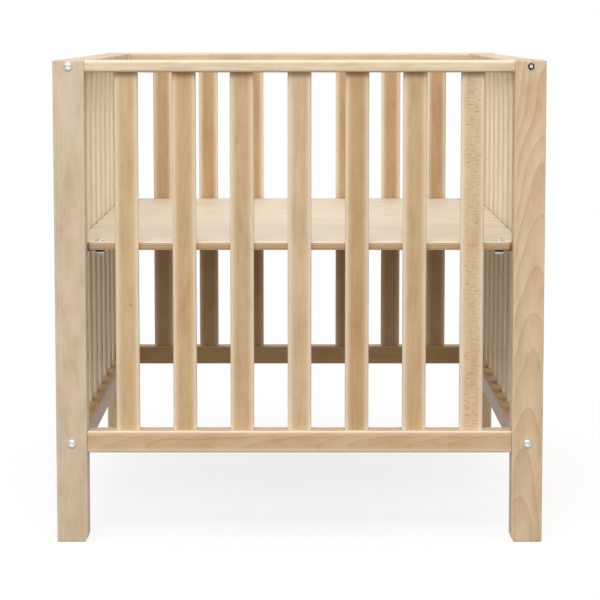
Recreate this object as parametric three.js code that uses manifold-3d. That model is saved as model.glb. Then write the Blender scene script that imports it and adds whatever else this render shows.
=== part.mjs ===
// A wooden baby crib of the raised playpen kind.
//
// Two glued end frames, each with two legs, two rails and a row of slats, stand at the front
// and the rear. Two side frames of rails and slats are bolted between them through the legs.
// A plywood base board hangs on four folded steel brackets, one beside each leg.
//
// Millimetres, +Z up, +X to the right, +Y to the rear. The origin is on the floor, midway
// between the four legs.
import * as THREE from "three";
import { mergeVertices } from "three/addons/utils/BufferGeometryUtils.js";
import Module from "manifold-3d";

// The whole crib, over the legs
const cribWidth = 800;
const cribDepth = 1010;
const cribHeight = 793;

// The air left between two pieces that touch
const gap = 0.3;

// Sides of a round hole or shank, of a small screw hole, and of a hexagon
const roundSides = 16;
const screwHoleSides = 12;
const hexagonSides = 6;

// Legs
const legWidth = 51;
const legDepth = 43;
const legEdgeRadius = 3;
const legEndBevel = 1.5;
const footChamferAcross = 5;
const footChamferUp = 8;

// Rails
const topRailHeight = 20;
const bottomRailHeight = 36;
const bottomRailTop = 185;
const endRailThickness = 37;
const sideRailThickness = 44;
const topRailEdgeRadius = 5;
const bottomRailEdgeRadius = 3;
const tenonLength = 18;
const tenonShoulder = 5;

// Slats
const slatWidth = 39;
const slatThickness = 13;
const slatEdgeRadius = 5.5;
const slatDepthInRail = 9;
const endSlatCount = 7;
const endSlatPitch = 94.2;
const sideSlatCount = 9;
const sideSlatPitch = 96;

// Frame bolts: button heads with a hexagon socket, screwed into cross dowels in the side rails
const boltLength = 90;
const boltHeights = { top: 783, bottom: 165 };
const zincBolt = { shankRadius: 4, headRadius: 7, headHeight: 4, socketRadius: 2.9 };
const blackBolt = { shankRadius: 3, headRadius: 5.3, headHeight: 3.2, socketRadius: 2.3 };
const boltHoleRadius = 4.3;
const boltRimHeight = 0.8;
const socketDepth = 2;
const domeSweep = 1.1;
const domeSteps = 3;
const boltHoleDepth = 52;
const crossDowelRadius = 5.2;
const crossDowelInset = 36;
const crossDowelReach = 7;

// Base board, at its upper setting
const boardWidth = 734;
const boardLength = 950;
const boardThickness = 12;
const boardTop = 493.5;
const notchGapBesideLeg = 2.5;
const notchGapBehindLeg = 4;

// Board brackets, given for the corner where X and Y are both positive
const bracketThickness = 3;
const bracketHeight = 40;
const bracketNearX = 353;
const bracketFarX = 394;
const bracketReach = 26;
const boardBoltX = 332;
const boardBoltY = 433;
const bracketNoseRadius = 8.5;
const bracketNoseSteps = 8;
const bracketNoseStart = 0.72 * Math.PI;
const bracketNoseSweep = 0.84 * Math.PI;
const screwHoleRadius = 2.3;
const screwSpacing = 18;
const screwHeight = 27;
const throughBracket = 10;

const legX = (cribWidth - legWidth) / 2;
const legY = (cribDepth - legDepth) / 2;
const innerX = cribWidth / 2 - legWidth;
const innerY = cribDepth / 2 - legDepth;

const beech = new THREE.MeshStandardMaterial({ color: 0xd2b592, roughness: 0.55, metalness: 0 });
const plywood = new THREE.MeshStandardMaterial({ color: 0xe6d4bb, roughness: 0.5, metalness: 0 });
const zinc = new THREE.MeshStandardMaterial({ color: 0xc4c6c8, roughness: 0.35, metalness: 1 });
const blackSteel = new THREE.MeshStandardMaterial({ color: 0x26241f, roughness: 0.4, metalness: 1 });

const wasm = await Module();
wasm.setup();

// Turns a closed geometry into a solid that can be cut and joined.
function solid(geometry) {
  const bare = geometry.index ? geometry.toNonIndexed() : geometry.clone();
  bare.deleteAttribute("normal");
  bare.deleteAttribute("uv");
  const merged = mergeVertices(bare, 1e-4);
  return new wasm.Manifold(new wasm.Mesh({
    numProp: 3,
    vertProperties: new Float32Array(merged.attributes.position.array),
    triVerts: new Uint32Array(merged.index.array),
  }));
}

// Turns a solid back into a geometry.
function skin(body) {
  const mesh = body.getMesh();
  const geometry = new THREE.BufferGeometry();
  geometry.setAttribute("position", new THREE.BufferAttribute(mesh.vertProperties, 3));
  geometry.setIndex(new THREE.BufferAttribute(mesh.triVerts, 1));
  geometry.computeVertexNormals();
  return geometry;
}

function piece(name, geometry, material) {
  const mesh = new THREE.Mesh(geometry, material);
  mesh.name = name;
  return mesh;
}

function boxSolid(sizeX, sizeY, sizeZ, x, y, z) {
  return solid(new THREE.BoxGeometry(sizeX, sizeY, sizeZ).translate(x, y, z));
}

// A rectangle with rounded corners, centred on the origin.
function roundedRectangle(width, height, radius) {
  const x = width / 2 - radius;
  const y = height / 2 - radius;
  const outline = new THREE.Shape();
  outline.absarc(x, y, radius, 0, Math.PI / 2);
  outline.absarc(-x, y, radius, Math.PI / 2, Math.PI);
  outline.absarc(-x, -y, radius, Math.PI, 1.5 * Math.PI);
  outline.absarc(x, -y, radius, 1.5 * Math.PI, 2 * Math.PI);
  outline.closePath();
  return outline;
}

// An upright bar from z = 0 to z = length, with rounded long edges and bevelled ends.
function uprightBar(width, depth, length, edgeRadius, endBevel) {
  const bar = new THREE.ExtrudeGeometry(roundedRectangle(width, depth, edgeRadius), {
    depth: length - 2 * endBevel,
    curveSegments: 1,
    bevelEnabled: endBevel > 0,
    bevelThickness: endBevel,
    bevelSize: endBevel,
    bevelOffset: -endBevel,
    bevelSegments: 1,
  });
  return bar.translate(0, 0, endBevel);
}

// A bar along X, centred on the origin, with rounded long edges.
function levelBar(length, thickness, height, edgeRadius) {
  const bar = uprightBar(height, thickness, length, edgeRadius, 0);
  return bar.translate(0, 0, -length / 2).rotateY(Math.PI / 2);
}

// Legs ------------------------------------------------------------------------------------
// Square-cut beech posts with eased edges. The foot is chamfered on its inner side. Each has
// two mortises for the end rails' tenons and two holes for the frame bolts.
function makeLeg(name, xSign, ySign) {
  let leg = solid(uprightBar(legWidth, legDepth, cribHeight, legEdgeRadius, legEndBevel));
  const foot = new THREE.Shape([
    new THREE.Vector2(-xSign * (legWidth / 2 + 1), -1),
    new THREE.Vector2(-xSign * (legWidth / 2 + 1), footChamferUp),
    new THREE.Vector2(-xSign * (legWidth / 2), footChamferUp),
    new THREE.Vector2(-xSign * (legWidth / 2 - footChamferAcross), 0),
    new THREE.Vector2(-xSign * (legWidth / 2 - footChamferAcross), -1),
  ]);
  const wedge = new THREE.ExtrudeGeometry(foot, { depth: legDepth + 2, bevelEnabled: false });
  leg = leg.subtract(solid(wedge.translate(0, 0, -legDepth / 2 - 1).rotateX(Math.PI / 2)));
  for (const [height, centre] of [
    [topRailHeight, cribHeight - topRailHeight / 2],
    [bottomRailHeight, bottomRailTop - bottomRailHeight / 2],
  ]) {
    const mortiseX = -xSign * (legWidth / 2 - (tenonLength + gap) / 2 + 1);
    leg = leg.subtract(boxSolid(
      tenonLength + gap + 2,
      endRailThickness - 2 * tenonShoulder + 2 * gap,
      height - 2 * tenonShoulder + 2 * gap,
      mortiseX,
      0,
      centre,
    ));
  }
  for (const height of Object.values(boltHeights)) {
    const hole = new THREE.CylinderGeometry(boltHoleRadius, boltHoleRadius, legDepth + 2, roundSides);
    leg = leg.subtract(solid(hole.translate(0, 0, height)));
  }
  const mesh = piece(name, skin(leg), beech);
  mesh.position.set(xSign * legX, ySign * legY, 0);
  return mesh;
}

// Rails -----------------------------------------------------------------------------------
// Cuts the row of blind slots that hold the slats. The slots open at the rail's lower face
// when side is -1 and at its upper face when side is 1.
function cutSlatSlots(rail, height, side, count, pitch) {
  let cut = rail;
  const slotDepth = slatDepthInRail + gap;
  for (let index = 0; index < count; index += 1) {
    const slot = uprightBar(
      slatWidth + 2 * gap,
      slatThickness + 2 * gap,
      slotDepth + 1,
      slatEdgeRadius + gap,
      0,
    );
    const x = (index - (count - 1) / 2) * pitch;
    const bottom = side > 0 ? height / 2 - slotDepth : -height / 2 - 1;
    cut = cut.subtract(solid(slot.translate(x, 0, bottom)));
  }
  return cut;
}

// The end rails are glued between the legs with a stub tenon at each end.
function makeEndRail(height, edgeRadius, slotSide) {
  const length = 2 * innerX - 2 * gap;
  let rail = solid(levelBar(length, endRailThickness, height, edgeRadius));
  const tenonThickness = endRailThickness - 2 * tenonShoulder;
  const tenons = boxSolid(
    2 * (innerX + tenonLength),
    tenonThickness,
    height - 2 * tenonShoulder,
    0,
    0,
    0,
  );
  rail = rail.add(tenons);
  return skin(cutSlatSlots(rail, height, slotSide, endSlatCount, endSlatPitch));
}

// The side rails are butted against the legs. Each end has a long hole for the frame bolt and
// a cross hole from below for its cross dowel.
function makeSideRail(height, edgeRadius, slotSide, boltHeight) {
  const length = 2 * innerY - 2 * gap;
  let rail = solid(levelBar(length, sideRailThickness, height, edgeRadius));
  for (const end of [-1, 1]) {
    const bore = new THREE.CylinderGeometry(boltHoleRadius, boltHoleRadius, boltHoleDepth + 2, roundSides);
    bore.rotateZ(Math.PI / 2);
    const boreX = end * (length / 2 + 1 - boltHoleDepth / 2);
    rail = rail.subtract(solid(bore.translate(boreX, 0, boltHeight)));
    const crossLength = height / 2 + boltHeight + crossDowelReach + 1;
    const cross = new THREE.CylinderGeometry(crossDowelRadius, crossDowelRadius, crossLength, roundSides);
    cross.rotateX(Math.PI / 2);
    const crossZ = -height / 2 - 1 + crossLength / 2;
    rail = rail.subtract(solid(cross.translate(end * (innerY - crossDowelInset), 0, crossZ)));
  }
  return skin(cutSlatSlots(rail, height, slotSide, sideSlatCount, sideSlatPitch));
}

// Slats -----------------------------------------------------------------------------------
// Flat bars with nearly half-round edges, let into the rails at both ends.
const slatBottom = bottomRailTop - slatDepthInRail;
const slatLength = cribHeight - topRailHeight + slatDepthInRail - slatBottom;

function addSlats(frame, side, count, pitch) {
  for (let index = 0; index < count; index += 1) {
    const bar = uprightBar(slatWidth, slatThickness, slatLength, slatEdgeRadius, 0);
    const slat = piece(`slat_${side}_${index + 1}`, bar, beech);
    slat.position.set((index - (count - 1) / 2) * pitch, 0, slatBottom);
    frame.add(slat);
  }
}

// A row of rails and slats along its own X axis, to be placed as an end or a side.
function makeFrame(side, topRail, bottomRail, count, pitch) {
  const frame = new THREE.Group();
  const top = piece(`top_rail_${side}`, topRail, beech);
  top.position.z = cribHeight - topRailHeight / 2;
  const bottom = piece(`bottom_rail_${side}`, bottomRail, beech);
  bottom.position.z = bottomRailTop - bottomRailHeight / 2;
  frame.add(top, bottom);
  addSlats(frame, side, count, pitch);
  return frame;
}

// Frame bolts -----------------------------------------------------------------------------
// The head stands on the leg's outer face and the shank runs into the side rail. The lathe
// axis is Y, with the head at the positive end.
function makeFrameBolt(name, size, material) {
  const dome = new THREE.EllipseCurve(
    0,
    boltRimHeight,
    size.headRadius,
    size.headHeight - boltRimHeight,
    0,
    domeSweep,
  );
  const profile = [
    new THREE.Vector2(0, -boltLength),
    new THREE.Vector2(size.shankRadius, -boltLength),
    new THREE.Vector2(size.shankRadius, 0),
    new THREE.Vector2(size.headRadius, 0),
    ...dome.getPoints(domeSteps),
  ];
  profile.push(new THREE.Vector2(0, profile.at(-1).y));
  const bolt = solid(new THREE.LatheGeometry(profile, roundSides));
  const socket = new THREE.CylinderGeometry(
    size.socketRadius,
    size.socketRadius,
    2 * socketDepth,
    hexagonSides,
  );
  return piece(name, skin(bolt.subtract(solid(socket.translate(0, profile.at(-1).y, 0)))), material);
}

// Base board ------------------------------------------------------------------------------
// A plywood sheet, notched round the four legs and drilled for its four bolts.
function makeBaseBoard() {
  const outline = new THREE.Shape();
  const x = boardWidth / 2;
  const y = boardLength / 2;
  const notchX = innerX - notchGapBesideLeg;
  const notchY = innerY - notchGapBehindLeg;
  const corner = [[x, notchY], [notchX, notchY], [notchX, y]];
  outline.setFromPoints([
    ...corner.map(([cx, cy]) => new THREE.Vector2(cx, cy)),
    ...corner.map(([cx, cy]) => new THREE.Vector2(-cx, cy)).reverse(),
    ...corner.map(([cx, cy]) => new THREE.Vector2(-cx, -cy)),
    ...corner.map(([cx, cy]) => new THREE.Vector2(cx, -cy)).reverse(),
  ]);
  for (const xSign of [-1, 1]) {
    for (const ySign of [-1, 1]) {
      const hole = new THREE.Path();
      hole.absarc(xSign * boardBoltX, ySign * boardBoltY, boltHoleRadius, 0, 2 * Math.PI);
      outline.holes.push(hole);
    }
  }
  const board = new THREE.ExtrudeGeometry(outline, {
    depth: boardThickness,
    curveSegments: 6,
    bevelEnabled: false,
  });
  const mesh = piece("base_board", board, plywood);
  mesh.position.z = boardTop - boardThickness;
  return mesh;
}

// Board brackets --------------------------------------------------------------------------
// Folded from black sheet steel. The flange lies under the board and takes the board bolt, and the
// upstand rises through the board's notch and is screwed to the leg's inner face.
function makeBracket(name, xSign, ySign) {
  const faceY = innerY - gap;
  const points = [[bracketFarX, faceY], [bracketNearX, faceY]];
  for (let step = 0; step <= bracketNoseSteps; step += 1) {
    const angle = bracketNoseStart + (bracketNoseSweep * step) / bracketNoseSteps;
    points.push([
      boardBoltX + bracketNoseRadius * Math.cos(angle),
      boardBoltY + bracketNoseRadius * Math.sin(angle),
    ]);
  }
  points.push([bracketFarX, faceY - bracketReach]);
  const outline = new THREE.Shape(points.map(([x, y]) => new THREE.Vector2(xSign * x, ySign * y)));
  const flange = new THREE.ExtrudeGeometry(outline, {
    depth: bracketThickness,
    bevelEnabled: false,
  });
  const upstand = boxSolid(
    bracketFarX - bracketNearX,
    bracketThickness,
    bracketHeight,
    (xSign * (bracketFarX + bracketNearX)) / 2,
    ySign * (faceY - bracketThickness / 2),
    bracketHeight / 2,
  );
  const boltHole = new THREE.CylinderGeometry(
    boltHoleRadius,
    boltHoleRadius,
    throughBracket,
    roundSides,
  );
  boltHole.rotateX(Math.PI / 2).translate(xSign * boardBoltX, ySign * boardBoltY, 0);
  let bracket = solid(flange).add(upstand).subtract(solid(boltHole));
  for (const offset of [-screwSpacing / 2, screwSpacing / 2]) {
    const hole = new THREE.CylinderGeometry(
      screwHoleRadius,
      screwHoleRadius,
      throughBracket,
      screwHoleSides,
    );
    const screwX = xSign * ((bracketFarX + bracketNearX) / 2 + offset);
    bracket = bracket.subtract(solid(hole.translate(screwX, ySign * faceY, screwHeight)));
  }
  const mesh = piece(name, skin(bracket), blackSteel);
  mesh.position.z = boardTop - boardThickness - gap - bracketThickness;
  return mesh;
}

// Assembly --------------------------------------------------------------------------------
const crib = new THREE.Group();

const frontAndRear = [["front", -1], ["rear", 1]];
const leftAndRight = [["left", -1], ["right", 1]];

for (const [end, ySign] of frontAndRear) {
  const frame = makeFrame(
    end,
    makeEndRail(topRailHeight, topRailEdgeRadius, -1),
    makeEndRail(bottomRailHeight, bottomRailEdgeRadius, 1),
    endSlatCount,
    endSlatPitch,
  );
  frame.position.y = ySign * legY;
  crib.add(frame);
}

for (const [side, xSign] of leftAndRight) {
  const topCentre = cribHeight - topRailHeight / 2;
  const bottomCentre = bottomRailTop - bottomRailHeight / 2;
  const frame = makeFrame(
    side,
    makeSideRail(topRailHeight, topRailEdgeRadius, -1, boltHeights.top - topCentre),
    makeSideRail(bottomRailHeight, bottomRailEdgeRadius, 1, boltHeights.bottom - bottomCentre),
    sideSlatCount,
    sideSlatPitch,
  );
  frame.rotation.z = Math.PI / 2;
  frame.position.x = xSign * legX;
  crib.add(frame);
}

for (const [end, ySign] of frontAndRear) {
  for (const [side, xSign] of leftAndRight) {
    crib.add(makeLeg(`leg_${end}_${side}`, xSign, ySign));
    crib.add(makeBracket(`bracket_${end}_${side}`, xSign, ySign));
    for (const [level, height] of Object.entries(boltHeights)) {
      const isBlack = end === "front" && side === "right" && level === "top";
      const size = isBlack ? blackBolt : zincBolt;
      const metal = isBlack ? blackSteel : zinc;
      const bolt = makeFrameBolt(`bolt_${level}_${end}_${side}`, size, metal);
      bolt.rotation.z = ySign < 0 ? Math.PI : 0;
      bolt.position.set(xSign * legX, ySign * (cribDepth / 2 + gap), height);
      crib.add(bolt);
    }
  }
}

crib.add(makeBaseBoard());

export default crib;
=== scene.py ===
import math
import random

import bmesh
import bpy
from mathutils import Matrix, Vector


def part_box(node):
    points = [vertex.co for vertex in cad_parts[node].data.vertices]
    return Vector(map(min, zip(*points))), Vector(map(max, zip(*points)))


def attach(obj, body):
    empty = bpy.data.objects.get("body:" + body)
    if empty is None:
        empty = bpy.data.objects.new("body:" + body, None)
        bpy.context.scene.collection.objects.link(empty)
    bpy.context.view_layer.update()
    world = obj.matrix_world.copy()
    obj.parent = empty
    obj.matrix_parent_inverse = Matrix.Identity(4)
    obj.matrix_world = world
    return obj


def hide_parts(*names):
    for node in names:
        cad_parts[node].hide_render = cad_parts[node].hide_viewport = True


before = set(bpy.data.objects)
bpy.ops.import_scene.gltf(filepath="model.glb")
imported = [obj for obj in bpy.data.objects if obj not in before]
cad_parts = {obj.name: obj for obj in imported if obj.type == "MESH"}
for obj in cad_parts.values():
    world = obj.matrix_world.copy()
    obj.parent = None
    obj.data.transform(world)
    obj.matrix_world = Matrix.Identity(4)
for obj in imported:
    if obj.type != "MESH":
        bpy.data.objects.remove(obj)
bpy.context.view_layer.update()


# Camera ------------------------------------------------------------------------------------
# A long lens a few metres in front of the crib, a little above its top rail and aimed slightly
# down. A small shift does the rest of the lowering, so the legs stay nearly upright.
camera_place = Vector((0.0008, -4.094, 0.8467))
camera_pitch = math.radians(5.657)

camera = bpy.data.objects.new("camera", bpy.data.cameras.new("camera"))
camera.location = camera_place
camera.rotation_euler = (math.pi / 2 - camera_pitch, 0, 0)
camera.data.lens = 132.8
camera.data.sensor_width = 36
camera.data.shift_y = -0.09
bpy.context.scene.collection.objects.link(camera)
bpy.context.scene.camera = camera


# Legs --------------------------------------------------------------------------------------
# Four posts of steamed beech, planed square and sanded, with softly eased edges and ends. The
# inner bottom edge of each foot is chamfered. Mortises take the end rails' tenons, and two
# bores take the frame bolts.
leg_edge = 0.003
leg_end_rounding = 0.0025
foot_chamfer_across = 0.005
foot_chamfer_up = 0.008
bolt_bore_radius = 0.0043
tenon_shoulder = 0.005
joint_air = 0.0003
corner_steps = 6


def linear(hex_colour):
    """A colour written as sRGB hex, as the linear values that shaders use."""
    channels = [int(hex_colour[i:i + 2], 16) / 255 for i in (0, 2, 4)]
    light = [c / 12.92 if c <= 0.04045 else ((c + 0.055) / 1.055) ** 2.4 for c in channels]
    return (*light, 1.0)


def add(tree, kind, fields, **links):
    """Adds a node, sets its fields and input values, and links outputs of earlier nodes to it."""
    node = tree.nodes.new(kind)
    for name, value in fields.items():
        if isinstance(name, str) and hasattr(node, name):
            setattr(node, name, value)
        else:
            node.inputs[name].default_value = value
    for name, output in links.items():
        socket = int(name[1:]) if name[1:].isdigit() else name.replace("_", " ")
        tree.links.new(output, node.inputs[socket])
    return node


def set_ramp(ramp_node, stops):
    """Gives a colour ramp its stops, as (place, hex colour) pairs."""
    elements = ramp_node.color_ramp.elements
    while len(elements) < len(stops):
        elements.new(0.5)
    for element, (place, colour) in zip(elements, stops):
        element.position = place
        element.color = linear(colour)


def new_material(name):
    """An empty node material with a principled shader at its output."""
    material = bpy.data.materials.new(name)
    material.use_nodes = True
    tree = material.node_tree
    return material, tree, tree.nodes["Principled BSDF"]


def make_beech():
    """Steamed beech under thin matt lacquer. The eye gets a straw ground with a touch of pink,
    faint growth rings, fine fibre lines along the grain, and small brown ray flecks, which
    are broad marks only where the wood was cut along the rays."""
    ring_width = 0.0031
    fibre_width = 0.0009
    fibre_length = 0.060
    ray_thickness = 0.0007
    ray_height = 0.0017
    ray_depth = 0.011
    typical_radius = 0.09
    material, tree, shader = new_material("steamed_beech_sanded_matt_lacquer")

    # The place in the log, bent a little, because no tree grows quite straight.
    place = add(tree, "ShaderNodeAttribute", {"attribute_name": "log_place"}).outputs["Vector"]
    wander = add(tree, "ShaderNodeTexNoise", {"Scale": 5.0, "Detail": 1.5}, Vector=place)
    centred = add(tree, "ShaderNodeVectorMath", {"operation": "SUBTRACT", 1: (0.5, 0.5, 0.5)},
                  _0=wander.outputs["Color"])
    bent = add(tree, "ShaderNodeVectorMath", {"operation": "MULTIPLY_ADD", 1: (0.012, 0.012, 0.0)},
               _0=centred.outputs[0], _2=place).outputs[0]
    flat = add(tree, "ShaderNodeVectorMath", {"operation": "MULTIPLY", 1: (1, 1, 0)}, _0=bent)
    radius = add(tree, "ShaderNodeVectorMath", {"operation": "LENGTH"}, _0=flat.outputs[0]).outputs["Value"]

    # Growth rings: pale early wood darkens towards a late-wood line, with uneven widths.
    ring_count = add(tree, "ShaderNodeMath", {"operation": "DIVIDE", 1: ring_width}, _0=radius)
    uneven = add(tree, "ShaderNodeTexNoise", {"noise_dimensions": "1D", "Scale": 0.45, "Detail": 2.0},
                 W=ring_count.outputs[0])
    ring_shift = add(tree, "ShaderNodeMath", {"operation": "MULTIPLY_ADD", 1: 0.8},
                     _0=uneven.outputs["Fac"], _2=ring_count.outputs[0])
    ring_phase = add(tree, "ShaderNodeMath", {"operation": "FRACT"}, _0=ring_shift.outputs[0])
    ring_shade = add(tree, "ShaderNodeValToRGB", {}, Fac=ring_phase.outputs[0])
    ring_stops = [(0.0, "ffffff"), (0.35, "fcfaf7"), (0.8, "f2eae2"), (0.95, "ebdfd4"), (1.0, "fefdfb")]
    set_ramp(ring_shade, ring_stops)

    # Slow changes of tone along the log and smaller cloudy patches.
    cloud_place = add(tree, "ShaderNodeVectorMath", {"operation": "MULTIPLY", 1: (34.0, 34.0, 12.0)},
                      _0=place)
    cloud = add(tree, "ShaderNodeTexNoise", {"Scale": 1.0, "Detail": 3.0, "Roughness": 0.6},
                Vector=cloud_place.outputs[0])
    cloud_shade = add(tree, "ShaderNodeValToRGB", {}, Fac=cloud.outputs["Fac"])
    set_ramp(cloud_shade, [(0.3, "e9e0d4"), (0.5, "f7f4ee"), (0.7, "ffffff")])
    figure = add(tree, "ShaderNodeAttribute", {"attribute_name": "figure"}).outputs["Fac"]
    shaded = add(tree, "ShaderNodeMix", {"data_type": "RGBA", "blend_type": "MULTIPLY"}, Factor=figure,
                 _6=cloud_shade.outputs["Color"], _7=ring_shade.outputs["Color"])

    # Fibre lines, drawn about as wide as they need to be to show.
    fibre_place = add(tree, "ShaderNodeVectorMath",
                      {"operation": "DIVIDE", 1: (fibre_width, fibre_width, fibre_length)}, _0=bent)
    fibre = add(tree, "ShaderNodeTexNoise", {"Scale": 1.0, "Detail": 3.0, "Roughness": 0.6},
                Vector=fibre_place.outputs[0])
    fibre_shade = add(tree, "ShaderNodeMapRange",
                      {"From Min": 0.25, "From Max": 0.75, "To Min": 0.91, "To Max": 1.09},
                      Value=fibre.outputs["Fac"])
    fibred = add(tree, "ShaderNodeVectorMath", {"operation": "SCALE"}, _0=shaded.outputs[2],
                 Scale=fibre_shade.outputs["Result"])

    # Each piece has its own ground colour.
    ground = add(tree, "ShaderNodeAttribute", {"attribute_name": "ground_colour"}).outputs["Color"]
    grained = add(tree, "ShaderNodeMix", {"data_type": "RGBA", "blend_type": "MULTIPLY", "Factor": 1.0},
                  _6=ground, _7=fibred.outputs[0])

    # Rays: thin sheets that stand along the grain and run outwards from the pith.
    ripple = add(tree, "ShaderNodeTexNoise", {"Scale": 110.0, "Detail": 1.0}, Vector=place)
    rippled = add(tree, "ShaderNodeVectorMath", {"operation": "MULTIPLY_ADD", 1: (0.0001, 0.0001, 0.0035)},
                  _0=ripple.outputs["Color"], _2=bent)
    parts = add(tree, "ShaderNodeSeparateXYZ", {}, Vector=rippled.outputs[0])
    angle = add(tree, "ShaderNodeMath", {"operation": "ARCTAN2"},
                _0=parts.outputs["Y"], _1=parts.outputs["X"])
    round_log = add(tree, "ShaderNodeMath", {"operation": "MULTIPLY", 1: typical_radius / ray_thickness},
                    _0=angle.outputs[0])
    up_log = add(tree, "ShaderNodeMath", {"operation": "DIVIDE", 1: ray_height}, _0=parts.outputs["Z"])
    out_of_log = add(tree, "ShaderNodeMath", {"operation": "DIVIDE", 1: ray_depth}, _0=radius)
    ray_place = add(tree, "ShaderNodeCombineXYZ", {}, X=round_log.outputs[0], Y=up_log.outputs[0],
                    Z=out_of_log.outputs[0])
    ray = add(tree, "ShaderNodeTexNoise", {"Scale": 1.0, "Detail": 1.0, "Roughness": 0.4},
              Vector=ray_place.outputs[0])
    rayed = add(tree, "ShaderNodeAttribute", {"attribute_name": "rays"}).outputs["Fac"]
    ray_level = add(tree, "ShaderNodeMath", {"operation": "MULTIPLY_ADD", 1: 0.05},
                    _0=rayed, _2=ray.outputs["Fac"])
    ray_depth_of_tone = add(tree, "ShaderNodeMath", {"operation": "MULTIPLY_ADD", 1: 0.22, 2: 0.3}, _0=rayed)
    ray_mask = add(tree, "ShaderNodeMapRange", {"From Min": 0.62, "From Max": 0.74, "To Min": 0.0},
                   Value=ray_level.outputs[0], To_Max=ray_depth_of_tone.outputs[0])
    flecked = add(tree, "ShaderNodeMix", {"data_type": "RGBA", 7: linear("a9743f")},
                  Factor=ray_mask.outputs["Result"], _6=grained.outputs[2])

    # End grain drinks lacquer and goes darker. Eased edges get a painted highlight, and so do the long edges
    # of some pieces.
    end_grain = add(tree, "ShaderNodeAttribute", {"attribute_name": "end_grain"}).outputs["Fac"]
    edge = add(tree, "ShaderNodeAttribute", {"attribute_name": "eased_edge"}).outputs["Fac"]
    ended = add(tree, "ShaderNodeMix", {"data_type": "RGBA", "blend_type": "MULTIPLY", 7: linear("d8bfa4")},
                Factor=end_grain, _6=flecked.outputs[2])
    # Painted highlight towards both long edges, its strength given per piece.
    margin = add(tree, "ShaderNodeAttribute", {"attribute_name": "margin"}).outputs["Vector"]
    margin_parts = add(tree, "ShaderNodeSeparateXYZ", {}, Vector=margin)
    off_middle = add(tree, "ShaderNodeMath", {"operation": "ABSOLUTE"}, _0=margin_parts.outputs["X"])
    painted_edge_highlight = add(tree, "ShaderNodeMapRange",
                 {"interpolation_type": "SMOOTHSTEP", "From Min": 0.35, "From Max": 1.0},
                 Value=off_middle.outputs[0], To_Max=margin_parts.outputs["Y"])
    edge_share = add(tree, "ShaderNodeMath", {"operation": "MULTIPLY_ADD", 1: 0.3}, _0=edge,
                     _2=painted_edge_highlight.outputs["Result"])
    paled = add(tree, "ShaderNodeMix", {"data_type": "RGBA", 7: linear("efe0c9")},
                Factor=edge_share.outputs[0], _6=ended.outputs[2])

    # A pin knot, dark in the middle with a browned rim, where a piece has one.
    knot_place = add(tree, "ShaderNodeAttribute", {"attribute_name": "from_knot"}).outputs["Vector"]
    knot_distance = add(tree, "ShaderNodeVectorMath", {"operation": "LENGTH"}, _0=knot_place).outputs["Value"]
    knot_mask = add(tree, "ShaderNodeMapRange",
                    {"From Min": 0.0008, "From Max": 0.0040, "To Min": 0.45, "To Max": 0.0},
                    Value=knot_distance)
    knotted = add(tree, "ShaderNodeMix", {"data_type": "RGBA", 7: linear("8a5a30")},
                  Factor=knot_mask.outputs["Result"], _6=paled.outputs[2])
    tree.links.new(knotted.outputs[2], shader.inputs["Base Color"])

    roughness = add(tree, "ShaderNodeMapRange", {"To Min": 0.44, "To Max": 0.60}, Value=fibre.outputs["Fac"])
    tree.links.new(roughness.outputs["Result"], shader.inputs["Roughness"])
    relief = add(tree, "ShaderNodeMath", {"operation": "MULTIPLY_ADD", 1: -0.6},
                 _0=ray_mask.outputs["Result"], _2=fibre.outputs["Fac"])
    bump = add(tree, "ShaderNodeBump", {"Strength": 0.25, "Distance": 0.0002}, Height=relief.outputs[0])
    tree.links.new(bump.outputs["Normal"], shader.inputs["Normal"])
    shader.inputs["Coat Weight"].default_value = 0.15
    shader.inputs["Coat Roughness"].default_value = 0.3
    return material


beech = make_beech()


def rounded_outline(width, depth, radius):
    """The points of a rectangle with rounded corners, anticlockwise."""
    points = []
    for quarter in range(4):
        corner_x = (width / 2 - radius) * (1 if quarter in (0, 3) else -1)
        corner_y = (depth / 2 - radius) * (1 if quarter in (0, 1) else -1)
        for step in range(corner_steps + 1):
            angle = math.pi / 2 * (quarter + step / corner_steps)
            points.append((corner_x + radius * math.cos(angle), corner_y + radius * math.sin(angle)))
    return points


def loft(name, rings):
    """A closed mesh skinned over rings of points, with a flat cap at each end."""
    mesh = bpy.data.meshes.new(name)
    work = bmesh.new()
    rows = [[work.verts.new(point) for point in ring] for ring in rings]
    count = len(rows[0])
    for lower, upper in zip(rows, rows[1:]):
        for i in range(count):
            j = (i + 1) % count
            work.faces.new((lower[i], lower[j], upper[j], upper[i]))
    work.faces.new(list(reversed(rows[0])))
    work.faces.new(rows[-1])
    work.to_mesh(mesh)
    work.free()
    piece = bpy.data.objects.new(name, mesh)
    bpy.context.scene.collection.objects.link(piece)
    return piece


def planed_bar(name, width, depth, length, edge, end_rounding):
    """A bar along its own Z, centred on its origin, with rounded edges and softened ends."""
    rings = []
    steps = 4 if end_rounding else 0
    for side in (-1, 1):
        for step in range(steps + 1):
            angle = math.pi / 2 * (step / steps if steps else 1)
            if side > 0:
                angle = math.pi / 2 - angle if steps else angle
            inset = end_rounding * (1 - math.sin(angle))
            z = side * (length / 2 - end_rounding * (1 - math.cos(angle)))
            outline = rounded_outline(width - 2 * inset, depth - 2 * inset, max(edge - inset, edge / 5))
            rings.append([(x, y, z) for x, y in outline])
    return loft(name, rings)


def work_on(piece, tools, operation):
    """Cuts the tools out of a piece, or joins them to it, and takes the tools away."""
    for tool in tools:
        step = piece.modifiers.new(tool.name, "BOOLEAN")
        step.operation = operation
        step.solver = "EXACT"
        step.object = tool
    evaluated = piece.evaluated_get(bpy.context.evaluated_depsgraph_get())
    mesh = bpy.data.meshes.new_from_object(evaluated)
    piece.modifiers.clear()
    piece.data = mesh
    for tool in tools:
        bpy.data.objects.remove(tool)


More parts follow.
